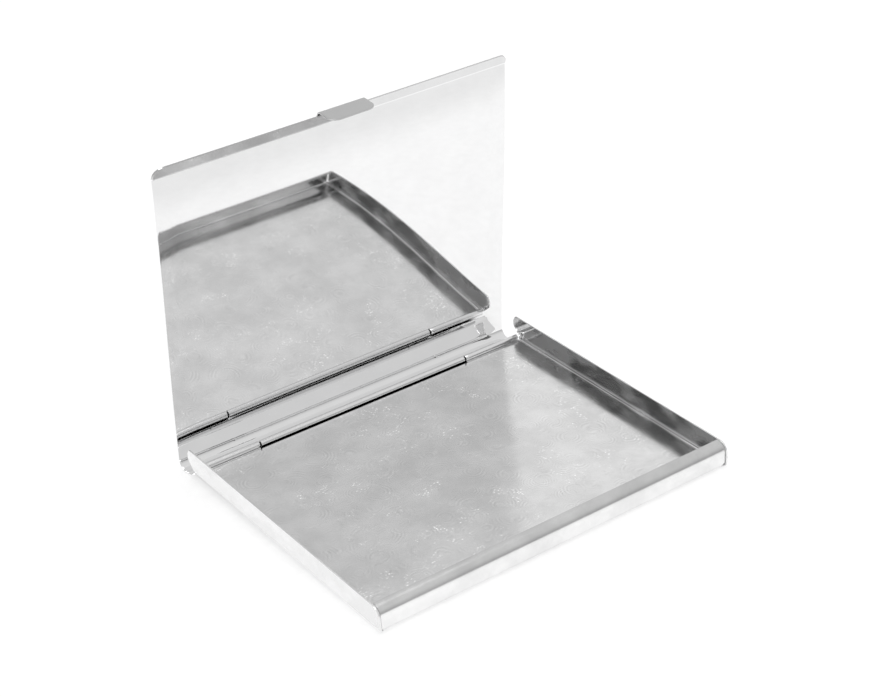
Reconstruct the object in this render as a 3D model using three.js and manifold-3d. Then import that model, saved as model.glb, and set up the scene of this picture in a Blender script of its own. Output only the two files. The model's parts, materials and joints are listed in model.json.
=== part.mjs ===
// A slim hinged card case in thin bright sheet metal, standing open: a shallow tray with a rolled
// front lip and two end walls, and a flat lid whose curved spine swings on a pin at the rear.
// Millimetres. X runs along the hinge, -Y points to the front lip and +Z up. The origin is the middle
// of the tray's underside. The pieces are drawn from the hinge axis and moved there at the end.
import * as THREE from 'three';
import { mergeVertices } from 'three/addons/utils/BufferGeometryUtils.js';
import Module from 'manifold-3d';

const wasm = await Module();
wasm.setup();

// Driving dimensions.
const CASE_WIDTH = 95;
const CASE_DEPTH = 76.4; // hinge axis to the face of the front lip
const WALL_HEIGHT = 6;
const SHEET = 0.35;
const OPEN_ANGLE = THREE.MathUtils.degToRad(85.2); // from the lid lying parallel to the tray

// Fits.
const SEAM = 0.04; // hairline at a soldered seam
const LIP_END_GAP = 0.25; // front lip to end wall
const KNUCKLE_GAP = 0.45; // between neighbouring knuckles

// Tray.
const BOTTOM_BEND = 1; // outer radius of the fold under each wall and the lip
const LIP_ROLL = 2.6; // outer radius of the roll along the top of the front lip
const LIP_HEIGHT = 6.05;
const LIP_EDGE = 0.05; // flat at the lip's free edge
const LIP_CORNER_RADIUS = 0.6; // lower corners of the lip, inside the walls' bends
const WALL_PROUD = 0.3; // end walls ahead of the lip
const WALL_FRONT_RADIUS = 2.6;
const WALL_CORNER_RADIUS = 0.6;
const WALL_FOOT = 0.2; // flat of the wall's foot beyond its bend
const WALL_TAIL = [ // [y, z, radius] corners behind the hinge, from the underside to the top
  [-0.5, 0, 0.3],
  [2.25, 3.1, 0.9],
  [2.25, 4.6, 1],
  [1.4, WALL_HEIGHT, 0.8],
];

// Hinge.
const PIN_HEIGHT = 0.88;
const PIN_RADIUS = 0.45;
const BORE_RADIUS = 0.52;
const KNUCKLE_RADIUS = 0.8;
const LID_KNUCKLE_LENGTH = 59.2;
const FOOT_REACH = 1.05; // solder foot of a tray knuckle, in front of the axis
const SLIT_EDGE = 1.25; // rear edge of the plate in front of the lid's knuckle

// Lid, measured from the hinge axis with the lid lying parallel to the tray.
const LID_WIDTH = 94.6;
const LID_OFFSET = 7.4; // inner face of the panel above the axis
const LID_CREASE = 73.2;
const LID_LIP = 3.1;
const LID_LIP_ANGLE = THREE.MathUtils.degToRad(21);
const LID_CORNER_RADIUS = 2.4;
const SPINE_RADIUS = 2.6;
const SPINE_CORNER = 4.5; // rear corner of the spine behind the axis, before rounding
const FLANGE_BEND = [2.3, 1]; // corner where the flange turns in to the knuckle
const FLANGE_BEND_RADIUS = 1.4;
const FLANGE_END = [0.79, 0.44];
const FLANGE_CLEARANCE = 1.2; // from the axis to the flange beside the lid's knuckle
const FLANGE_END_CLEARANCE = 1.7; // the same at the flange's ends, which pass the walls' tails

// Catch clip.
const CLIP_WIDTH = 12.2;
const CLIP_CENTRE = 0.6;
const CLIP_START = 1; // along the lid's lip, from the crease
const CLIP_CLEARANCE = 0.35; // inner face of the clip in front of the tray's lip
const CLIP_BOTTOM = 0.8;
const CLIP_BEND = 1.1;
const CLIP_CORNER_RADIUS = 2.2;

const ARC_STEPS = 10;
const ROUND_STEPS = 40;
const FAR = 200; // a size beyond the whole object, for cutting blocks
const WELD = 1e-5;

const HALF_WIDTH = CASE_WIDTH / 2;
const WALL_INNER = HALF_WIDTH - SHEET;
const WALL_FOOT_EDGE = HALF_WIDTH - BOTTOM_BEND - WALL_FOOT;

const brightSteel = new THREE.MeshStandardMaterial({ color: 0xd9dadb, roughness: 0.12, metalness: 1 });
brightSteel.name = 'bright_steel';
const satinSteel = new THREE.MeshStandardMaterial({ color: 0xcfd0d1, roughness: 0.3, metalness: 1 });
satinSteel.name = 'satin_steel';

// Geometry helpers -------------------------------------------------------------------------------

// Points of a rounded corner, each with the direction of travel there.
function roundCorner(before, corner, after, radius) {
  const into = corner.clone().sub(before).normalize();
  const outOf = after.clone().sub(corner).normalize();
  const turn = Math.atan2(into.cross(outOf), into.dot(outOf));
  const side = Math.sign(turn);
  const start = corner.clone().addScaledVector(into, -radius * Math.tan(Math.abs(turn) / 2));
  const leftOf = (travel) => new THREE.Vector2(-travel.y, travel.x);
  const centre = start.clone().addScaledVector(leftOf(into), side * radius);
  const points = [];
  for (let step = 0; step <= ARC_STEPS; step += 1) {
    const travel = into.clone().rotateAround(new THREE.Vector2(), (turn * step) / ARC_STEPS);
    const point = centre.clone().addScaledVector(leftOf(travel), -side * radius);
    points.push({ point, travel });
  }
  return points;
}

// The outer face of a folded sheet through [u, v, radius] corners.
function foldedFace(corners) {
  const at = corners.map(([u, v]) => new THREE.Vector2(u, v));
  const last = at.length - 1;
  const face = [{ point: at[0], travel: at[1].clone().sub(at[0]).normalize() }];
  for (let i = 1; i < last; i += 1) {
    face.push(...roundCorner(at[i - 1], at[i], at[i + 1], corners[i][2]));
  }
  face.push({ point: at[last], travel: at[last].clone().sub(at[last - 1]).normalize() });
  return face;
}

// The closed section of a folded sheet, its thickness to the left of the direction of travel.
function foldedSection(corners, thickness) {
  const face = foldedFace(corners);
  const outer = face.map(({ point }) => point);
  const inner = face.map(({ point, travel }) => new THREE.Vector2(
    point.x - travel.y * thickness,
    point.y + travel.x * thickness,
  ));
  return [...outer, ...inner.reverse()];
}

// A closed outline through [u, v, radius] corners.
function roundedOutline(corners) {
  const at = corners.map(([u, v]) => new THREE.Vector2(u, v));
  const count = at.length;
  return corners.flatMap(([, , radius], i) => {
    const before = at[(i + count - 1) % count];
    const after = at[(i + 1) % count];
    return radius ? roundCorner(before, at[i], after, radius).map(({ point }) => point) : [at[i]];
  });
}

function extrude(outline, depth) {
  return new THREE.ExtrudeGeometry(new THREE.Shape(outline), { depth, bevelEnabled: false });
}

// Extrudes a section drawn in (y, z) along X between two stations.
function alongX(outline, from, to) {
  const axes = new THREE.Matrix4().makeBasis(
    new THREE.Vector3(0, 1, 0),
    new THREE.Vector3(0, 0, 1),
    new THREE.Vector3(1, 0, 0),
  );
  return extrude(outline, to - from).applyMatrix4(axes).translate(from, 0, 0);
}

// Extrudes a section drawn in (x, z) along Y between two stations.
function alongY(outline, from, to) {
  const axes = new THREE.Matrix4().makeBasis(
    new THREE.Vector3(1, 0, 0),
    new THREE.Vector3(0, 0, 1),
    new THREE.Vector3(0, -1, 0),
  );
  return extrude(outline, to - from).applyMatrix4(axes).translate(0, to, 0);
}

function block(xRange, yRange, zRange) {
  const size = [xRange, yRange, zRange].map(([low, high]) => high - low);
  const middle = [xRange, yRange, zRange].map(([low, high]) => (low + high) / 2);
  return new THREE.BoxGeometry(...size).translate(...middle);
}

function solidOf(geometry) {
  const bare = geometry.clone();
  bare.deleteAttribute('normal');
  bare.deleteAttribute('uv');
  const welded = mergeVertices(bare, WELD);
  const vertProperties = new Float32Array(welded.getAttribute('position').array);
  const triVerts = new Uint32Array(welded.index.array);
  return new wasm.Manifold(new wasm.Mesh({ numProp: 3, vertProperties, triVerts }));
}

function geometryOf(solid) {
  const mesh = solid.getMesh();
  const geometry = new THREE.BufferGeometry();
  geometry.setAttribute('position', new THREE.BufferAttribute(mesh.vertProperties, 3));
  geometry.setIndex(new THREE.BufferAttribute(mesh.triVerts, 1));
  const flat = geometry.toNonIndexed();
  flat.computeVertexNormals();
  return flat;
}

function named(name, geometry, material) {
  const mesh = new THREE.Mesh(geometry.translate(0, CASE_DEPTH / 2, 0), material);
  mesh.name = name;
  return mesh;
}

// Tray -------------------------------------------------------------------------------------------

// An end wall's section in (x, z) for the right-hand side: foot, bend and upright.
function wallSection() {
  return foldedSection([
    [WALL_FOOT_EDGE, 0, 0],
    [HALF_WIDTH, 0, BOTTOM_BEND],
    [HALF_WIDTH, WALL_HEIGHT, 0],
  ], SHEET);
}

// The wall seen from the side: straight top, rounded front and a tail behind the hinge.
function wallOutline() {
  const front = -CASE_DEPTH - WALL_PROUD;
  return roundedOutline([
    [front, 0, WALL_CORNER_RADIUS],
    ...WALL_TAIL,
    [front, WALL_HEIGHT, WALL_FRONT_RADIUS],
  ]);
}

function endWall(side) {
  const upright = alongY(wallSection(), -FAR, FAR);
  const outline = alongX(wallOutline(), 0, FAR);
  const wall = solidOf(upright).intersect(solidOf(outline));
  return geometryOf(side > 0 ? wall : wall.mirror([1, 0, 0]));
}

// The room between the end walls in (x, z): the plate stops at their feet, the lip above them.
function panRoom() {
  const plate = WALL_FOOT_EDGE - SEAM;
  const lip = WALL_INNER - LIP_END_GAP;
  const step = SHEET + SEAM;
  return roundedOutline([
    [-plate, -FAR, 0],
    [plate, -FAR, 0],
    [plate, step, 0],
    [lip, step, LIP_CORNER_RADIUS],
    [lip, FAR, 0],
    [-lip, FAR, 0],
    [-lip, step, LIP_CORNER_RADIUS],
    [-plate, step, 0],
  ]);
}

// The bottom plate with the front lip rolled up and back from it.
function trayPan() {
  const front = -CASE_DEPTH;
  const section = foldedSection([
    [front + LIP_ROLL + LIP_EDGE, LIP_HEIGHT, 0],
    [front, LIP_HEIGHT, LIP_ROLL],
    [front, 0, BOTTOM_BEND],
    [-FOOT_REACH - SEAM, 0, 0],
  ], SHEET);
  const slit = block([-slitHalf(), slitHalf()], [-SLIT_EDGE, FAR], [-FAR, FAR]);
  const pan = solidOf(alongX(section, -HALF_WIDTH, HALF_WIDTH))
    .intersect(solidOf(alongY(panRoom(), -FAR, FAR)))
    .subtract(solidOf(slit));
  return geometryOf(pan);
}

// Hinge ------------------------------------------------------------------------------------------

function slitHalf() {
  return LID_KNUCKLE_LENGTH / 2 + KNUCKLE_GAP;
}

function rod(radius, from, to) {
  return new THREE.CylinderGeometry(radius, radius, to - from, ROUND_STEPS)
    .rotateZ(Math.PI / 2)
    .translate((from + to) / 2, 0, PIN_HEIGHT);
}

// A tray knuckle: a tube with a foot running forward to the edge of the plate.
function trayKnuckle(side) {
  const from = slitHalf();
  const to = WALL_FOOT_EDGE - SEAM;
  const foot = block([from, to], [-FOOT_REACH, 0], [0, SHEET]);
  const tube = solidOf(rod(KNUCKLE_RADIUS, from, to))
    .add(solidOf(foot))
    .subtract(solidOf(rod(BORE_RADIUS, 0, FAR)));
  return geometryOf(side > 0 ? tube : tube.mirror([1, 0, 0]));
}

function hingePin() {
  const end = WALL_FOOT_EDGE - SEAM;
  return rod(PIN_RADIUS, -end, end);
}

function lidKnuckle() {
  const half = LID_KNUCKLE_LENGTH / 2;
  const tube = solidOf(rod(KNUCKLE_RADIUS, -half, half));
  return geometryOf(tube.subtract(solidOf(rod(BORE_RADIUS, -FAR, FAR))));
}

// Lid --------------------------------------------------------------------------------------------

// Swings a piece drawn with the lid parallel to the tray into the open position.
function opened(geometry) {
  return geometry.rotateX(-OPEN_ANGLE).translate(0, 0, PIN_HEIGHT);
}

function lidShell() {
  const top = LID_OFFSET + SHEET;
  const lipEnd = LID_CREASE + LID_LIP * Math.cos(LID_LIP_ANGLE);
  const section = foldedSection([
    [...FLANGE_END, 0],
    [...FLANGE_BEND, FLANGE_BEND_RADIUS],
    [SPINE_CORNER, top, SPINE_RADIUS],
    [-LID_CREASE, top, BOTTOM_BEND],
    [-lipEnd, top - LID_LIP * Math.sin(LID_LIP_ANGLE), 0],
  ], SHEET);
  const half = LID_WIDTH / 2;
  const aroundAxis = (radius, from) => solidOf(rod(radius, from, FAR).translate(0, 0, -PIN_HEIGHT));
  const plan = roundedOutline([
    [-half, -lipEnd - SEAM, LID_CORNER_RADIUS],
    [half, -lipEnd - SEAM, LID_CORNER_RADIUS],
    [half, FAR, 0],
    [-half, FAR, 0],
  ]);
  const besideKnuckle = aroundAxis(FLANGE_CLEARANCE, slitHalf())
    .add(aroundAxis(FLANGE_END_CLEARANCE, WALL_INNER - LIP_END_GAP));
  const shell = solidOf(alongX(section, -half, half))
    .intersect(solidOf(extrude(plan, FAR).translate(0, 0, -FAR / 2)))
    .subtract(aroundAxis(KNUCKLE_RADIUS + SEAM, -FAR))
    .subtract(besideKnuckle)
    .subtract(besideKnuckle.mirror([1, 0, 0]));
  return opened(geometryOf(shell));
}

// The catch clip: a tongue lying on the lid's lip and turning down over the front of the tray.
function catchClip() {
  const rise = SHEET + SEAM;
  const startY = LID_CREASE + CLIP_START * Math.cos(LID_LIP_ANGLE) + rise * Math.sin(LID_LIP_ANGLE);
  const lipDrop = CLIP_START * Math.sin(LID_LIP_ANGLE);
  const startZ = LID_OFFSET + SHEET - lipDrop + rise * Math.cos(LID_LIP_ANGLE);
  const faceY = CASE_DEPTH + CLIP_CLEARANCE + SHEET;
  const cornerZ = startZ - (faceY - startY) * Math.tan(LID_LIP_ANGLE);
  const section = foldedSection([
    [-startY, startZ, 0],
    [-faceY, cornerZ, CLIP_BEND],
    [-faceY, CLIP_BOTTOM, 0],
  ], SHEET);
  const left = CLIP_CENTRE - CLIP_WIDTH / 2;
  const right = CLIP_CENTRE + CLIP_WIDTH / 2;
  const face = roundedOutline([
    [left, CLIP_BOTTOM, CLIP_CORNER_RADIUS],
    [right, CLIP_BOTTOM, CLIP_CORNER_RADIUS],
    [right, FAR, 0],
    [left, FAR, 0],
  ]);
  const tongue = solidOf(alongX(section, left, right)).intersect(solidOf(alongY(face, -FAR, FAR)));
  return opened(geometryOf(tongue));
}

// Assembly ---------------------------------------------------------------------------------------

const cardCase = new THREE.Group();
cardCase.name = 'hinged_card_case';
cardCase.add(
  named('tray_pan', trayPan(), brightSteel),
  named('left_end_wall', endWall(-1), brightSteel),
  named('right_end_wall', endWall(1), brightSteel),
  named('tray_knuckle_left', trayKnuckle(-1), satinSteel),
  named('tray_knuckle_right', trayKnuckle(1), satinSteel),
  named('hinge_pin', hingePin(), satinSteel),
  named('lid_shell', lidShell(), brightSteel),
  named('lid_knuckle', lidKnuckle(), satinSteel),
  named('catch_clip', catchClip(), brightSteel),
);

export default cardCase;
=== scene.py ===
import json
import math

import bmesh
import bpy
from mathutils import Matrix, Vector


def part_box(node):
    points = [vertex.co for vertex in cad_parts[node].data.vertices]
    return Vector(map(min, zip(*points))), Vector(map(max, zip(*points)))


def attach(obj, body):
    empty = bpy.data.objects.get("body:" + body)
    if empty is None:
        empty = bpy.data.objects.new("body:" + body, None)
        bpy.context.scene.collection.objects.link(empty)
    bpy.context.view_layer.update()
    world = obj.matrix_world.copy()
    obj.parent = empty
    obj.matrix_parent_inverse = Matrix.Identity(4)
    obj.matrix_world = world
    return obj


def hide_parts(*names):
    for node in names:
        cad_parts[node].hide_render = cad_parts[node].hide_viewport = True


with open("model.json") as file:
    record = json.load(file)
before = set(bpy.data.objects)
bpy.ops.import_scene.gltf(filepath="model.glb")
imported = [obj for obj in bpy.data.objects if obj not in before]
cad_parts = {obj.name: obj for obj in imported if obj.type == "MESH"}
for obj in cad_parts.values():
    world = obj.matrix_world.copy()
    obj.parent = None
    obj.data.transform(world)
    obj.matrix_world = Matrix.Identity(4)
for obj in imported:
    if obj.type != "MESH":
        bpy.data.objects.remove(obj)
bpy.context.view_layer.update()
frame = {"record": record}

MM = 0.001

# Sizes from the frame. Sections are drawn in y from the hinge axis and z from the tray's underside.

WALL_LOW, WALL_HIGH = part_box("right_end_wall")
PAN_LOW, PAN_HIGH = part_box("tray_pan")
SHELL_LOW, SHELL_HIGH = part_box("lid_shell")
TUBE_LOW, TUBE_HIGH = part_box("lid_knuckle")
SIDE_TUBE_LOW, SIDE_TUBE_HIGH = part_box("tray_knuckle_right")
CLIP_LOW, CLIP_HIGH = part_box("catch_clip")
HINGE = Vector(frame["record"]["behaviour"]["joints"][0]["pos_m"])

HALF_WIDTH = WALL_HIGH[0]
WALL_HEIGHT = WALL_HIGH[2]
WALL_FRONT = WALL_LOW[1] - HINGE.y
WALL_REAR = WALL_HIGH[1] - HINGE.y
FRONT = PAN_LOW[1] - HINGE.y
LIP_HEIGHT = PAN_HIGH[2]
LIP_HALF = PAN_HIGH[0]
LID_HALF = SHELL_HIGH[0]
TUBE_RADIUS = (TUBE_HIGH[2] - TUBE_LOW[2]) / 2
TUBE_HALF = TUBE_HIGH[0]
SLIT_HALF = SIDE_TUBE_LOW[0]

# Sheet metal and the shapes folded from it.
SHEET = 0.35 * MM
SEAM = 0.04 * MM
BOTTOM_BEND = 1.0 * MM
LIP_ROLL = 2.6 * MM
LIP_EDGE = 0.05 * MM
PLATE_HALF = HALF_WIDTH - 1.24 * MM
PLATE_REAR = -1.09 * MM
SLIT_REAR = -1.25 * MM
SLIT_STEP = 1e-4  # share of the plate's half width over which its rear edge steps at the slit
WALL_FRONT_RADIUS = 2.6 * MM
WALL_CORNER_RADIUS = 0.6 * MM
BORE_RADIUS = 0.52 * MM
PIN_RADIUS = 0.45 * MM
PIN_END_SHARE = 0.3  # the pin's ends close to this share of its radius

# The rear edge of an end wall, from its foot up to the straight top: (y, z, corner radius).
WALL_TAIL = (
    (-0.5 * MM, 0, 0),
    (WALL_REAR, 3.1 * MM, 0.9 * MM),
    (WALL_REAR, 4.6 * MM, 1.0 * MM),
    (1.4 * MM, WALL_HEIGHT, 0.8 * MM),
    (-1 * MM, WALL_HEIGHT, 0),
)

# The solder under a tray knuckle, round the edge of the plate: (y, z).
SOLDER_SECTION = (
    (PLATE_REAR + SEAM, 0),
    (-0.1 * MM, 0),
    (-0.62 * MM, 0.27 * MM),
    (-0.72 * MM, 0.42 * MM),
    (PLATE_REAR + SEAM, SHEET),
)

# The lid as it lies shut: (y, z) from the hinge axis.
OPEN_ANGLE = math.radians(85.2)
LID_TOP = 7.75 * MM
LID_CREASE = 73.2 * MM
LIP_LENGTH = 3.1 * MM
LIP_ANGLE = math.radians(21)
LID_CORNER = 2.4 * MM
SPINE_RADIUS = 2.6 * MM
SPINE_CORNER = 4.5 * MM
FLANGE_BEND = (2.3 * MM, 1.0 * MM)
FLANGE_BEND_RADIUS = 1.4 * MM
FLANGE_END = (0.80 * MM, 0.45 * MM)
FLANGE_CLEARANCE = 1.2 * MM  # from the axis, beside the lid's knuckle
FLANGE_END_CLEARANCE = 1.7 * MM  # and beside the end walls
CLIP_START = 1.0 * MM
CLIP_CORNER = 2.2 * MM
CLIP_BEND = 1.1 * MM
CLIP_BOTTOM = 0.8 * MM
CLIP_FACE = -FRONT + 0.7 * MM

# How the panel departs from flat: it stands in towards the tray, and its sides roll back.
BULGE_UP = 0.23 * MM
BULGE_SKEW = 0.66 * MM
BULGE_ACROSS = 0.14 * MM
BULGE_START = 0.2  # share of the panel over which the bulge sets in from the hinge
SIDE_ROLL = 0.10 * MM
SIDE_ROLL_WIDTH = 5.0 * MM
SIDE_ROLL_FADE = 0.15  # share of the panel over which the side roll dies out before the lip

ARC_STEPS = 14
TUBE_STEPS = 48
PIN_STEPS = 24
EDGE_BEVEL = 0.05 * MM
SOLDER_BEVEL = 0.03 * MM
TUBE_BEVEL = 0.02 * MM
SMOOTH_ANGLE = math.radians(35)


# Mesh helpers -----------------------------------------------------------------------------------

def left_of(travel):
    return Vector((-travel.y, travel.x))


def round_corner(before, corner, after, radius):
    """Points of a rounded corner, each with the direction of travel there."""
    into = (corner - before).normalized()
    out_of = (after - corner).normalized()
    turn = math.atan2(into.x * out_of.y - into.y * out_of.x, into.dot(out_of))
    side = math.copysign(1, turn)
    start = corner - into * radius * math.tan(abs(turn) / 2)
    centre = start + left_of(into) * side * radius
    path = []
    for step in range(ARC_STEPS + 1):
        travel = Matrix.Rotation(turn * step / ARC_STEPS, 2) @ into
        path.append((centre - left_of(travel) * side * radius, travel))
    return path


def folded_path(corners, spacing):
    """(point, direction) along a line through (u, v, radius) corners, straights split to spacing."""
    at = [Vector(corner[:2]) for corner in corners]
    path = [(at[0], (at[1] - at[0]).normalized())]
    for i in range(1, len(at)):
        last = i == len(at) - 1
        travel = (at[i] - at[i - 1]).normalized()
        if last:
            arrival = [(at[i], travel)]
        else:
            arrival = round_corner(at[i - 1], at[i], at[i + 1], corners[i][2])
        begin = path[-1][0]
        run = arrival[0][0] - begin
        pieces = max(1, math.ceil(run.length / spacing[i - 1]))
        for piece in range(1, pieces):
            path.append((begin + run * piece / pieces, travel))
        path.extend(arrival)
    return path


def sheet_solid(name, rows, columns, place, present=lambda r, c: True):
    """A closed sheet: a grid of cells with two faces, rimmed wherever a cell has no neighbour."""
    mesh = bmesh.new()
    grid = [
        [[mesh.verts.new(place(r, c, side)) for side in (0, 1)] for c in range(columns)]
        for r in range(rows)
    ]

    def cell(r, c):
        return 0 <= r < rows - 1 and 0 <= c < columns - 1 and present(r, c)

    for r in range(rows - 1):
        for c in range(columns - 1):
            if not cell(r, c):
                continue
            ring = [(r, c), (r, c + 1), (r + 1, c + 1), (r + 1, c)]
            mesh.faces.new([grid[a][b][0] for a, b in ring])
            mesh.faces.new([grid[a][b][1] for a, b in reversed(ring)])
            beyond = [(r - 1, c), (r, c + 1), (r + 1, c), (r, c - 1)]
            for k in range(4):
                if cell(*beyond[k]):
                    continue
                (r1, c1), (r2, c2) = ring[k], ring[(k + 1) % 4]
                first, second = grid[r1][c1], grid[r2][c2]
                mesh.faces.new([second[0], first[0], first[1], second[1]])
    loose = [vert for vert in mesh.verts if not vert.link_faces]
    bmesh.ops.delete(mesh, geom=loose, context="VERTS")
    return finished(name, mesh)


def linked_object(name, mesh):
    """Puts a bmesh into the scene as an object."""
    data = bpy.data.meshes.new(name)
    mesh.to_mesh(data)
    mesh.free()
    piece = bpy.data.objects.new(name, data)
    bpy.context.scene.collection.objects.link(piece)
    return piece


def finished(name, mesh, bevel=EDGE_BEVEL):
    """Turns a bmesh into a smooth object with softened sheet edges."""
    bmesh.ops.recalc_face_normals(mesh, faces=mesh.faces)
    for face in mesh.faces:
        face.smooth = True
    piece = linked_object(name, mesh)
    soften = piece.modifiers.new("edges", "BEVEL")
    soften.width = bevel
    soften.segments = 2
    soften.limit_method = "ANGLE"
    soften.angle_limit = SMOOTH_ANGLE
    even = piece.modifiers.new("normals", "WEIGHTED_NORMAL")
    even.mode = "FACE_AREA"
    even.weight = 100
    return piece


def surface_point(path_point, face):
    """The path's own point on face 0, and the point a sheet's thickness to its left on face 1."""
    point, travel = path_point
    return point + left_of(travel) * SHEET * face


def rounded_inset(distance, radius):
    """How far an edge draws in at this distance from the end of a rounded corner."""
    if distance >= radius:
        return 0.0
    return radius - math.sqrt(max(0.0, radius ** 2 - (radius - distance) ** 2))


def in_frame(x, y, z):
    """A point drawn from the hinge axis, put in the row frame."""
    return Vector((x, y + HINGE.y, z))


def spread(low, high, count):
    return [low + (high - low) * i / (count - 1) for i in range(count)]


# Tray -------------------------------------------------------------------------------------------

def tray_pan():
    path = folded_path([
        (FRONT + LIP_ROLL + LIP_EDGE, LIP_HEIGHT, 0),
        (FRONT, LIP_HEIGHT, LIP_ROLL),
        (FRONT, 0, BOTTOM_BEND),
        (PLATE_REAR, 0, 0),
    ], spacing=[1 * MM, 0.4 * MM, 3 * MM])
    slit = SLIT_HALF / PLATE_HALF
    side = spread(-1, -slit, count=10)[:-1] + [-slit - SLIT_STEP]
    stations = side + spread(-slit, slit, count=25) + [-t for t in reversed(side)]
    last = len(path) - 1

    def half(z):
        """Half the sheet's width at this height: the lip is wider than the plate between the walls."""
        step = SHEET + SEAM
        if z <= step:
            return PLATE_HALF
        return max(PLATE_HALF, LIP_HALF - rounded_inset(z - step, BOTTOM_BEND - SHEET))

    def place(r, c, face):
        point = surface_point(path[r], face)
        t = stations[c]
        y = SLIT_REAR if r == last and abs(t) <= slit else point.x
        return in_frame(t * half(path[r][0].y), y, point.y)

    return sheet_solid("tray_sheet", len(path), len(stations), place)


def wall_rear(z):
    """Where the rear edge of an end wall is at this height."""
    outline = folded_path(WALL_TAIL, spacing=[1 * MM] * 4)
    for (low, _), (high, _) in zip(outline, outline[1:]):
        if low.y <= z <= high.y and high.y > low.y:
            return low.x + (high.x - low.x) * (z - low.y) / (high.y - low.y)
    return outline[-1][0].x


def end_wall(name, side):
    path = folded_path([
        (PLATE_HALF + SEAM, 0, 0),
        (HALF_WIDTH, 0, BOTTOM_BEND),
        (HALF_WIDTH, WALL_HEIGHT, 0),
    ], spacing=[1 * MM, 0.14 * MM])
    columns = 40

    def place(r, c, face):
        point = surface_point(path[r], face)
        z = path[r][0].y
        top = rounded_inset(WALL_HEIGHT - z, WALL_FRONT_RADIUS)
        bottom = rounded_inset(z, WALL_CORNER_RADIUS)
        low = WALL_FRONT + max(top, bottom)
        y = low + (wall_rear(z) - low) * c / (columns - 1)
        return in_frame(side * point.x, y, point.y)

    return sheet_solid(name, len(path), columns, place)


# Hinge ------------------------------------------------------------------------------------------

def turned(name, profile, steps):
    """A body of revolution about the hinge axis from a closed (x, radius) profile."""
    mesh = bmesh.new()
    rings = []
    for x, radius in profile:
        ring = []
        for step in range(steps):
            angle = 2 * math.pi * step / steps
            spot = Vector((x, radius * math.cos(angle), radius * math.sin(angle)))
            ring.append(mesh.verts.new(HINGE + spot))
        rings.append(ring)
    for i in range(len(rings)):
        ring, following = rings[i], rings[(i + 1) % len(rings)]
        for step in range(steps):
            after = (step + 1) % steps
            mesh.faces.new([ring[step], ring[after], following[after], following[step]])
    return finished(name, mesh, TUBE_BEVEL)


def tube(name, low, high):
    stations = spread(low, high, count=12)
    outside = [(x, TUBE_RADIUS) for x in stations]
    bore = [(x, BORE_RADIUS) for x in reversed(stations)]
    return turned(name, outside + bore, TUBE_STEPS)


def hinge_pin():
    end = SIDE_TUBE_HIGH[0]
    core = PIN_RADIUS * PIN_END_SHARE
    profile = [(-end, core), (-end, PIN_RADIUS), (end, PIN_RADIUS), (end, core)]
    return turned("hinge_wire", profile, PIN_STEPS)


def tube_foot(name, side):
    """The strip of solder that carries a tray knuckle on the edge of the plate."""
    mesh = bmesh.new()
    ends = [
        [mesh.verts.new(in_frame(side * x, y, z)) for y, z in SOLDER_SECTION]
        for x in (SIDE_TUBE_LOW[0], SIDE_TUBE_HIGH[0])
    ]
    count = len(SOLDER_SECTION)
    for i in range(count):
        after = (i + 1) % count
        mesh.faces.new([ends[0][i], ends[0][after], ends[1][after], ends[1][i]])
    for end in ends:
        mesh.faces.new(end)
    return finished(name, mesh, SOLDER_BEVEL)


# Lid --------------------------------------------------------------------------------------------

def opened(x, point):
    """A lid point drawn shut, (y, z) from the hinge axis, swung to the open rest position."""
    spot = Matrix.Rotation(-OPEN_ANGLE, 3, "X") @ Vector((x, point.x, point.y))
    return HINGE + spot


def panel_bulge(point, x):
    """How far the hand-flattened panel stands in towards the tray."""
    along = min(1.0, max(0.0, -point.x / LID_CREASE))
    across = 1 - (x / LID_HALF) ** 2
    arch = 4 * along * (1 - along)
    start = min(1.0, along / BULGE_START)
    start = start * start * (3 - 2 * start)  # sets in and levels out without a crease
    fade = min(1.0, (1 - along) / SIDE_ROLL_FADE)
    edge = max(0.0, 1 - (LID_HALF - abs(x)) / SIDE_ROLL_WIDTH) * fade
    swell = BULGE_UP * arch + BULGE_SKEW * arch * (2 * along - 1) + BULGE_ACROSS * across * start
    return swell - SIDE_ROLL * edge ** 2 * start


def lid_shell():
    lip_end = Vector((
        -LID_CREASE - LIP_LENGTH * math.cos(LIP_ANGLE),
        LID_TOP - LIP_LENGTH * math.sin(LIP_ANGLE),
    ))
    path = folded_path([
        (*FLANGE_END, 0),
        (*FLANGE_BEND, FLANGE_BEND_RADIUS),
        (SPINE_CORNER, LID_TOP, SPINE_RADIUS),
        (-LID_CREASE, LID_TOP, BOTTOM_BEND),
        (*lip_end, 0),
    ], spacing=[0.06 * MM, 0.3 * MM, 3 * MM, 0.12 * MM])
    side = [-LID_HALF] + spread(-LIP_HALF, -LID_HALF + SIDE_ROLL_WIDTH, count=7)[:-1]
    side += spread(-LID_HALF + SIDE_ROLL_WIDTH, -SLIT_HALF, count=6)
    middle = spread(-SLIT_HALF, SLIT_HALF, count=25)[1:-1]
    stations = side + middle + [-x for x in reversed(side)]

    def place(r, c, face):
        point = surface_point(path[r], face)
        inset = rounded_inset((lip_end - path[r][0]).length, LID_CORNER)
        x = stations[c] * (1 - inset / LID_HALF)
        return opened(x, point - Vector((0, panel_bulge(path[r][0], x))))

    def present(r, c):
        """Only the middle of the flange reaches in to the lid's knuckle."""
        x = abs(stations[c] + stations[c + 1]) / 2
        clearance = FLANGE_END_CLEARANCE if x > LIP_HALF else FLANGE_CLEARANCE
        return x < SLIT_HALF or path[r][0].length > clearance

    return sheet_solid("lid_sheet", len(path), len(stations), place, present)


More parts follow.
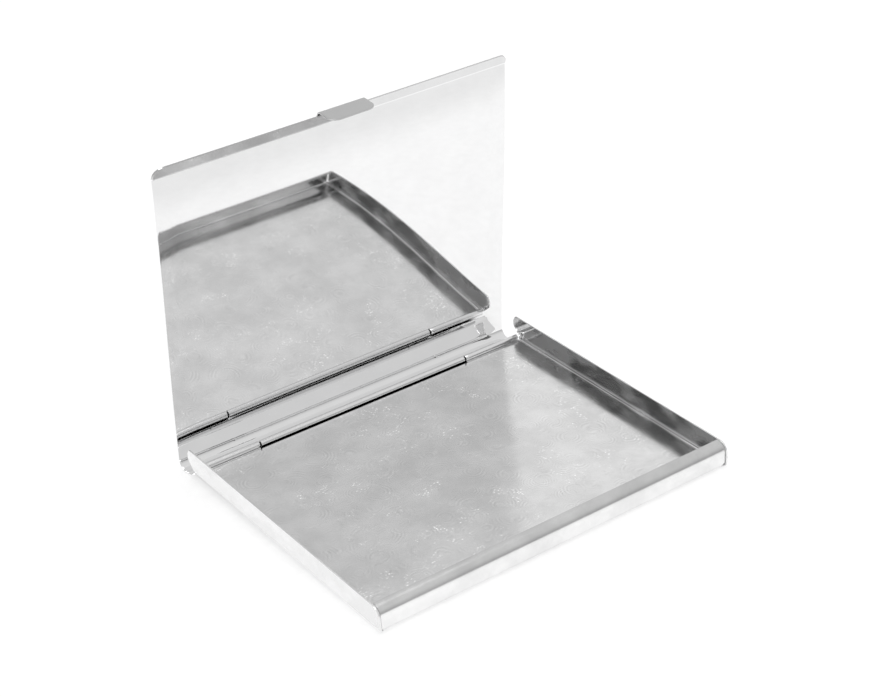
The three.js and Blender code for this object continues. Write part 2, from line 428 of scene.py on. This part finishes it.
def catch_clip():
    rise = SHEET + SEAM
    begin = Vector((
        -LID_CREASE - CLIP_START * math.cos(LIP_ANGLE) - rise * math.sin(LIP_ANGLE),
        LID_TOP - CLIP_START * math.sin(LIP_ANGLE) + rise * math.cos(LIP_ANGLE),
    ))
    corner_z = begin.y - (CLIP_FACE + begin.x) * math.tan(LIP_ANGLE)
    path = folded_path([
        (*begin, 0),
        (-CLIP_FACE, corner_z, CLIP_BEND),
        (-CLIP_FACE, CLIP_BOTTOM, 0),
    ], spacing=[0.3 * MM, 0.15 * MM])
    centre = (CLIP_LOW[0] + CLIP_HIGH[0]) / 2
    half = (CLIP_HIGH[0] - CLIP_LOW[0]) / 2
    across = spread(-1, 1, count=21)

    def place(r, c, face):
        inset = rounded_inset(path[r][0].y - CLIP_BOTTOM, CLIP_CORNER)
        return opened(centre + across[c] * (half - inset), surface_point(path[r], face))

    return sheet_solid("clip_tongue", len(path), len(across), place)


# Materials --------------------------------------------------------------------------------------
# Noise and cell scales are per metre: a scale of 100 makes features of about 10 mm. Pairs called
# a band are the values between which a noise turns on. Relief heights are in millimetres.

USUAL_BAND = (0.3, 0.7)
COOL_TINT = 1.002  # how much more blue than red the metals give back

# Plain sheet and tube.
CLOUD_SCALE = 60
GRAIN_SCALE = 900
GRAIN_SHARE = 0.4
HAIR_STRETCH = (40, 900, 900)
HAIR_BAND = (0.62, 0.7)
CROSS_STRETCH = (1100, 60, 50)
CROSS_BAND = (0.66, 0.72)
SCRATCH_ROUGHNESS = 0.7
WAVE_SCALE = 45
TONE_SCALE = 150
TONE_RANGE = (0.98, 1.0)
# Painted shade on the lid's lip: its colour is darkened, more on the left, for a darker reflection painted
# in.
PAINTED_SHADE_EDGE = 0.3 * MM  # height over which the painted shade sets in
PAINTED_SHADE_MIDDLE = 4 * MM  # half the width over which it changes from left to right
PAINTED_SHADE_RIGHT = 0.45
HAZE_STRETCH = (1.0, 0.6, 1.0)
HAZE_SCALE = 130
HAZE_BAND = (0.42, 0.58)

# The pan: its plate, the polished inner face of its lip, and the lip's crown; the inner face and the crown
# carry painted shade.
OFF_LATTICE = (0.0, 0.0, 0.0152)  # keeps the flat plate off the noises' own grid planes
PLATE_TOP = (0.6 * MM, 1.0 * MM)  # heights between which the plate's marks fade out
LIP_FOOT = (1.0 * MM, 2.2 * MM)  # distances behind the lip's face between which they fade in
LIP_INNER_LEAN = (0.1, 0.3)  # backward share of a normal between which the inner face sets in
CRISP_POLISH = 0.8
# Painted shade: shares of colour taken off the lip's inner face and off its crown.
CRISP_PAINTED_SHADE = 0.3
CROWN_DEPTH = (2.0 * MM, 1.4 * MM)  # depths below the lip's top between which the crown sets in
CROWN_PAINTED_SHADE = 0.2
PLATE_WAVE_SCALE = 55
PLATE_WAVE_HEIGHT = 0.03
PLATE_CLOUD_SCALE = 90
PLATE_ROUGHNESS = (0.14, 0.22)
PLATE_TONE_SCALE = 75
PLATE_TONE = (0.80, 0.95)

# Rub marks on the plate.
WHORL_LAYERS = ((140, 0.80 * MM, 0.0), (190, 0.62 * MM, 0.37))  # (cell scale, ring width, shift)
WHORL_WOBBLE_SCALE = 260
WHORL_WOBBLE = 0.9 * MM
WHORL_EDGE = (0.02, 0.25)
WHORL_HEART = (0.12, 0.3)
WHORL_GATE_SCALE = 330
WHORL_GATE_BAND = (0.42, 0.62)
WHORL_HEIGHT = 0.0022
WHORL_SHADE = 0.055

# Painted glints on the plate: small flecks that glow though they are no lamp.
FLECK_STRETCH = (1500, 2900, 1500)
FLECK_SIZE = (0.2, 0.5)
FLECK_CHANCE = (0.3, 1.0)
FLECK_PATCH_SCALE = 95
FLECK_PATCH_BAND = (0.42, 0.62)
FLECK_CLUSTER_SCALE = 420
FLECK_CLUSTER_BAND = (0.47, 0.66)
FLECK_GLINT = 0.6  # painted glint: the glow a bright fleck gives off towards every viewer


class Nodes:
    """A short way to write a node tree."""

    def __init__(self, owner):
        owner.use_nodes = True
        self.tree = owner.node_tree

    def add(self, kind, inputs=(), **settings):
        node = self.tree.nodes.new(kind)
        for key, value in settings.items():
            setattr(node, key, value)
        for key, value in dict(inputs).items():
            if isinstance(value, bpy.types.NodeSocket):
                self.link(value, node.inputs[key])
            else:
                node.inputs[key].default_value = value
        return node

    def link(self, value, socket):
        self.tree.links.new(value, socket)

    def math(self, operation, a, b=0.0):
        return self.add("ShaderNodeMath", {0: a, 1: b}, operation=operation).outputs[0]

    def plus(self, a, b):
        return self.math("ADD", a, b)

    def times(self, first, *others):
        for other in others:
            first = self.math("MULTIPLY", first, other)
        return first

    def remainder(self, share):
        return self.math("SUBTRACT", 1.0, share)

    def vector(self, operation, a, b=(0, 0, 0)):
        return self.add("ShaderNodeVectorMath", {0: a, 1: b}, operation=operation)

    def stretched(self, where, factors):
        return self.vector("MULTIPLY", where, factors).outputs[0]

    def moved(self, where, step):
        return self.vector("ADD", where, step).outputs[0]

    def split(self, vector):
        return self.add("ShaderNodeSeparateXYZ", {0: vector}).outputs

    def grey(self, value):
        return self.add("ShaderNodeCombineColor", {0: value, 1: value, 2: value}).outputs[0]

    def ramp(self, value, low, high, to_low=0.0, to_high=1.0):
        inputs = {"Value": value, "From Min": low, "From Max": high, "To Min": to_low, "To Max": to_high}
        return self.add("ShaderNodeMapRange", inputs, interpolation_type="SMOOTHSTEP").outputs[0]

    def noise(self, where, scale, detail, roughness=0.5):
        inputs = {"Vector": where, "Scale": scale, "Detail": detail, "Roughness": roughness}
        return self.add("ShaderNodeTexNoise", inputs).outputs["Fac"]

    def cells(self, where, scale, feature="F1"):
        return self.add("ShaderNodeTexVoronoi", {"Vector": where, "Scale": scale}, feature=feature).outputs

    def relief(self, height):
        """A bent normal from a height in millimetres."""
        inputs = {"Height": height, "Distance": MM, "Filter Width": 1.0}
        return self.add("ShaderNodeBump", inputs).outputs["Normal"]


def new_material(name):
    """A material with its node writer and its shader's inputs."""
    material = bpy.data.materials.new(name)
    tree = Nodes(material)
    return material, tree, tree.tree.nodes["Principled BSDF"].inputs


def metal(name, colour, roughness, cloudiness, waviness, scratches, painted_shade=(1.0, 1.0), haze=0.0):
    """Bright sheet metal: cloudy roughness, a slow ripple, hair-fine scratches and hazy patches.

    The roughness varies by cloudiness. Above the height painted_shade[0] the colour carries painted shade,
    a darker reflection painted in: the metal left of the middle gives back only the share
    painted_shade[1], and right of the middle it loses the share PAINTED_SHADE_RIGHT of that loss.
    A hazy patch scatters the share haze of its light.
    """
    material, tree, shader = new_material(name)
    place = tree.add("ShaderNodeTexCoord").outputs["Object"]

    cloud = tree.times(tree.noise(place, CLOUD_SCALE, detail=4), cloudiness)
    grain = tree.times(tree.noise(place, GRAIN_SCALE, detail=2), cloudiness * GRAIN_SHARE)
    base = roughness - cloudiness / 2
    tree.link(tree.plus(tree.plus(cloud, grain), base), shader["Roughness"])

    height = tree.times(tree.noise(place, WAVE_SCALE, detail=1), waviness)
    for stretch, band in ((HAIR_STRETCH, HAIR_BAND), (CROSS_STRETCH, CROSS_BAND)):
        lines = tree.noise(tree.stretched(place, stretch), 1.0, detail=3, roughness=SCRATCH_ROUGHNESS)
        height = tree.plus(height, tree.times(tree.ramp(lines, *band), scratches))
    tree.link(tree.relief(height), shader["Normal"])

    parts = tree.split(place)
    # Painted shade: above the given height the colour is darkened, more left of the middle.
    above = tree.ramp(parts["Z"], painted_shade[0], painted_shade[0] + PAINTED_SHADE_EDGE, 0.0, 1 - painted_shade[1])
    share = tree.ramp(parts["X"], -PAINTED_SHADE_MIDDLE, PAINTED_SHADE_MIDDLE, 1.0, PAINTED_SHADE_RIGHT)
    tone = tree.ramp(tree.noise(place, TONE_SCALE, detail=3), *USUAL_BAND, *TONE_RANGE)
    tone = tree.times(tone, tree.remainder(tree.times(above, share)))
    tint = tree.vector("SCALE", (colour, colour, colour * COOL_TINT))
    tree.link(tone, tint.inputs["Scale"])
    tree.link(tint.outputs[0], shader["Base Color"])

    patches = tree.noise(tree.stretched(place, HAZE_STRETCH), HAZE_SCALE, detail=2)
    tree.link(tree.ramp(patches, *HAZE_BAND, 1.0, 1.0 - haze), shader["Metallic"])
    return material


def whorls(tree, place):
    """Layers of fine rings round scattered centres, each from -1 to 1 and broken up by a noise."""
    total = 0.0
    for scale, ring, shift in WHORL_LAYERS:
        moved = tree.moved(place, (shift, shift * 2, 0))
        centre = tree.cells(moved, scale)["Distance"]
        border = tree.cells(moved, scale, "DISTANCE_TO_EDGE")["Distance"]
        wobble = tree.times(tree.noise(moved, WHORL_WOBBLE_SCALE, detail=2), WHORL_WOBBLE)
        away = tree.plus(tree.times(centre, 1 / scale), wobble)
        rings = tree.math("SINE", tree.times(away, math.tau / ring))
        fade = tree.times(tree.ramp(border, *WHORL_EDGE), tree.ramp(centre, *WHORL_HEART))
        gate = tree.ramp(tree.noise(moved, WHORL_GATE_SCALE, detail=2), *WHORL_GATE_BAND)
        total = tree.plus(total, tree.times(rings, fade, gate))
    return total


def painted_glints(tree, place):
    """Spots for painted glints: small drawn-out flecks, 0 to 1, gathered in clusters inside larger
    patches.
    """
    glint_cells = tree.cells(tree.stretched(place, FLECK_STRETCH), 1.0)
    spot = tree.ramp(glint_cells["Distance"], *FLECK_SIZE, 1, 0)
    pick = tree.add("ShaderNodeSeparateColor", {0: glint_cells["Color"]}).outputs[0]
    chance = tree.ramp(pick, *FLECK_CHANCE)
    patch = tree.ramp(tree.noise(place, FLECK_PATCH_SCALE, detail=3), *FLECK_PATCH_BAND)
    cluster = tree.ramp(tree.noise(place, FLECK_CLUSTER_SCALE, detail=2), *FLECK_CLUSTER_BAND)
    return tree.times(spot, chance, patch, cluster)


def swirled_metal(name):
    """The pan's sheet: a plate with faint whorls of rub marks and bright flecks that glow as painted
    glints, and a cleaner lip with painted shade on its crown and inner face.
    """
    material, tree, shader = new_material(name)
    where = tree.add("ShaderNodeTexCoord").outputs["Object"]
    parts = tree.split(where)
    flat = tree.ramp(parts["Z"], *PLATE_TOP, 1, 0)
    foot = [PAN_LOW[1] + reach for reach in LIP_FOOT]
    plate = tree.times(flat, tree.ramp(parts["Y"], *foot))
    facing = tree.split(tree.add("ShaderNodeNewGeometry").outputs["True Normal"])
    crisp = tree.times(tree.ramp(facing["Y"], *LIP_INNER_LEAN), tree.remainder(flat))
    crown_band = [LIP_HEIGHT - depth for depth in CROWN_DEPTH]
    # Painted shade on the lip's crown, darker towards the top.
    crown = tree.ramp(parts["Z"], *crown_band, 0.0, CROWN_PAINTED_SHADE)

    place = tree.moved(where, OFF_LATTICE)
    marks = tree.times(whorls(tree, place), plate)
    wave = tree.times(tree.noise(place, PLATE_WAVE_SCALE, detail=2), PLATE_WAVE_HEIGHT)
    tree.link(tree.relief(tree.plus(tree.times(marks, WHORL_HEIGHT), wave)), shader["Normal"])

    # Painted glints: the flecks glow white.
    tree.link(tree.times(painted_glints(tree, place), plate, FLECK_GLINT), shader["Emission Strength"])
    shader["Emission Color"].default_value = (1, 1, 1, 1)

    cloud = tree.noise(place, PLATE_CLOUD_SCALE, detail=4, roughness=0.6)
    rough = tree.ramp(cloud, *USUAL_BAND, *PLATE_ROUGHNESS)
    polish = tree.remainder(tree.times(crisp, CRISP_POLISH))
    tree.link(tree.times(rough, polish), shader["Roughness"])

    smear = tree.noise(place, PLATE_TONE_SCALE, detail=5, roughness=0.65)
    tone = tree.ramp(smear, *USUAL_BAND, *PLATE_TONE)
    tone = tree.plus(tone, tree.times(marks, WHORL_SHADE))
    # Painted shade: the lip's crown and inner face are darkened.
    lip_painted_shade = tree.plus(crown, tree.times(crisp, CRISP_PAINTED_SHADE))
    tree.link(tree.grey(tree.times(tone, tree.remainder(lip_painted_shade))), shader["Base Color"])
    shader["Metallic"].default_value = 1.0
    return material


def dress(piece, material, body, slot, *nodes):
    piece.data.materials.append(material)
    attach(piece, body)
    if nodes:
        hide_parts(*nodes)


# The mirror sheet's lip, above the crease, carries painted shade: a darker reflection painted into its
# colour.
CREASE_HEIGHT = opened(0, Vector((-LID_CREASE, LID_TOP - SHEET))).z
# name, colour, roughness, cloudiness, waviness, scratches
mirror = metal("mirror_sheet", 0.91, 0.03, 0.02, 0.01, 0.00003, painted_shade=(CREASE_HEIGHT, 0.62))
wall_metal = metal("wall_sheet", 0.9, 0.04, 0.02, 0.40, 0.0, haze=0.28)
# The clip's sheet is given a darker colour than the other sheet.
clip_metal = metal("darker_clip", 0.57, 0.12, 0.1, 0.10, 0.0006)
tube_metal = metal("drawn_tube", 0.88, 0.14, 0.08, 0.03, 0.0010)
plate_metal = swirled_metal("swirled_plate")
# The hinge pin is coloured near black as painted shade inside the hinge.
shade_black_wire = metal("painted_shade_wire", 0.05, 0.4, 0.2, 0.03, 0.001)

dress(tray_pan(), plate_metal, "tray", "bright_steel", "tray_pan")
dress(end_wall("wall_left", -1), wall_metal, "tray", "bright_steel", "left_end_wall")
dress(end_wall("wall_right", 1), wall_metal, "tray", "bright_steel", "right_end_wall")
side_low, side_high = SIDE_TUBE_LOW[0], SIDE_TUBE_HIGH[0]
dress(tube("tube_left", -side_high, -side_low), tube_metal, "tray", "satin_steel", "tray_knuckle_left")
dress(tube("tube_right", side_low, side_high), tube_metal, "tray", "satin_steel", "tray_knuckle_right")
dress(tube_foot("foot_left", -1), tube_metal, "tray", "satin_steel")
dress(tube_foot("foot_right", 1), tube_metal, "tray", "satin_steel")
dress(hinge_pin(), shade_black_wire, "tray", "satin_steel", "hinge_pin")
dress(lid_shell(), mirror, "lid", "bright_steel", "lid_shell")
dress(tube("tube_middle", -TUBE_HALF, TUBE_HALF), tube_metal, "lid", "satin_steel", "lid_knuckle")
dress(catch_clip(), clip_metal, "lid", "bright_steel", "catch_clip")


# Stage ------------------------------------------------------------------------------------------

FLOOR_SIZE = 3.0
FLOOR_DROP = 0.05 * MM
FLOOR_TONE_SCALE = 400
FLOOR_TONE = (0.345, 0.355)
FLOOR_GLOW = 1.95
SPINE_REST = 5.1 * MM  # where the open lid's spine stands, behind the hinge axis
FAR_FLOOR = (-0.35, -0.10)  # painted shade: the ground darkens towards this far point ahead of the case; y from full effect to none
FAR_FLOOR_TONE = 0.80
MIRRORED_FLOOR = (-0.075, -0.042)  # y from full effect to none
MIRRORED_FLOOR_TONE = 0.86  # the lid shows the ground ahead of the case a little darker than it is

# How far inside the case's outline, or behind the hinge axis, the painted shadow on the ground under the
# case ends.
FOOTPRINT_SIDE = 1 * MM
FOOTPRINT_FRONT = 2 * MM
FOOTPRINT_BACK = 6.5 * MM
FOOTPRINT_SOFT = 3 * MM

CAMERA_AZIMUTH = -33.65
CAMERA_ELEVATION = 30.13
CAMERA_ROLL = -3.81
CAMERA_DISTANCE = 0.4613
CAMERA_AIM = in_frame(0.0049, -0.0250, 0.0245)
CAMERA_LENS = 83.5

HORIZON = 0.45
ROOM = 0.74
ROOM_FROM = math.radians(42)  # elevation from which the surround has its full brightness
# (azimuth, elevation, full within, gone beyond, brightness): soft cards and lamps round the case.
ROOM_CARDS = (
    (146, 16, 15, 27, 0.80),
    (CAMERA_AZIMUTH, 27, 4, 30, 0.06),
    (0, 90, 9, 23, 4.7),
)


def outside_painted_shadow(tree, parts):
    """Painted shadow: 0 on the ground the open case stands on, which no light reaches, and 1 beyond it."""
    side = HALF_WIDTH - FOOTPRINT_SIDE
    front = HINGE.y + FRONT + FOOTPRINT_FRONT
    back = HINGE.y + FOOTPRINT_BACK
    across = tree.ramp(tree.math("ABSOLUTE", parts["X"]), side - FOOTPRINT_SOFT, side)
    ahead = tree.ramp(parts["Y"], front, front + FOOTPRINT_SOFT, 1, 0)
    behind = tree.ramp(parts["Y"], back - FOOTPRINT_SOFT / 2, back)
    return tree.math("MAXIMUM", tree.math("MAXIMUM", across, ahead), behind)


def paper_sweep():
    """Matt pale paper that glows a little, so that it stays plain in the picture, with a painted shadow
    under the case and painted shade on the ground ahead of it.
    """
    material, tree, shader = new_material("paper_sweep")
    shader["Roughness"].default_value = 0.9
    shader["Specular IOR Level"].default_value = 0.1
    place = tree.add("ShaderNodeTexCoord").outputs["Object"]
    parts = tree.split(place)
    # Painted shade: the ground is darker far ahead of the case, and in reflections only it is also darker
    # just ahead of it.
    far = tree.ramp(parts["Y"], *FAR_FLOOR, FAR_FLOOR_TONE, 1.0)
    mirrored = tree.ramp(parts["Y"], *MIRRORED_FLOOR, MIRRORED_FLOOR_TONE, 1.0)
    seen = tree.add("ShaderNodeLightPath").outputs["Is Camera Ray"]
    far = tree.times(far, tree.math("MAXIMUM", mirrored, seen))
    tone = tree.ramp(tree.noise(place, FLOOR_TONE_SCALE, detail=3), *USUAL_BAND, *FLOOR_TONE)
    # The painted shadow under the case darkens the paper's colour.
    colour = tree.grey(tree.times(tone, far, outside_painted_shadow(tree, parts)))
    tree.link(colour, shader["Base Color"])
    tree.link(colour, shader["Emission Color"])
    shader["Emission Strength"].default_value = FLOOR_GLOW
    return material


def floor():
    """A pale floor that touches the spine of the open lid and the front edge of the tray."""
    rest = in_frame(0, SPINE_REST, SHELL_LOW[2])
    edge = in_frame(0, FRONT + BOTTOM_BEND, 0)
    slope = math.atan2(rest.z - edge.z, rest.y - edge.y)
    tilt = Matrix.Translation(edge) @ Matrix.Rotation(slope, 4, "X")
    mesh = bmesh.new()
    bmesh.ops.create_grid(mesh, x_segments=1, y_segments=1, size=FLOOR_SIZE, matrix=tilt)
    plane = linked_object("floor", mesh)
    plane.location.z -= FLOOR_DROP
    plane.data.materials.append(paper_sweep())


def toward(azimuth, elevation):
    """The direction from the case to something at these angles, 0 azimuth being the front."""
    a, e = math.radians(azimuth), math.radians(elevation)
    return Vector((math.sin(a) * math.cos(e), -math.cos(a) * math.cos(e), math.sin(e)))


def room():
    """A surround brighter overhead, a pale card behind, a dark one by the camera, a lamp above."""
    world = bpy.data.worlds.new("studio")
    bpy.context.scene.world = world
    tree = Nodes(world)
    way = tree.add("ShaderNodeTexCoord").outputs["Generated"]
    level = tree.ramp(tree.split(way)["Z"], 0, math.sin(ROOM_FROM), HORIZON, ROOM)
    for azimuth, elevation, full, gone, brightness in ROOM_CARDS:
        facing = tree.vector("DOT_PRODUCT", way, toward(azimuth, elevation)).outputs["Value"]
        cover = tree.ramp(facing, math.cos(math.radians(gone)), math.cos(math.radians(full)))
        mix = tree.add("ShaderNodeMix", {"Factor": cover, 2: level, 3: brightness}, data_type="FLOAT")
        level = mix.outputs[0]
    background = tree.tree.nodes["Background"].inputs
    tree.link(tree.grey(level), background["Color"])
    background["Strength"].default_value = 1.0


def camera():
    data = bpy.data.cameras.new("camera")
    data.lens = CAMERA_LENS
    data.sensor_width = 36
    eye = bpy.data.objects.new("camera", data)
    bpy.context.scene.collection.objects.link(eye)
    away = toward(CAMERA_AZIMUTH, CAMERA_ELEVATION)
    turn = away.to_track_quat("Z", "Y").to_matrix().to_4x4()
    roll = Matrix.Rotation(math.radians(CAMERA_ROLL), 4, "Z")
    eye.matrix_world = Matrix.Translation(CAMERA_AIM + away * CAMERA_DISTANCE) @ turn @ roll
    bpy.context.scene.camera = eye


floor()
room()
camera()
bpy.context.scene.view_settings.view_transform = "Standard"
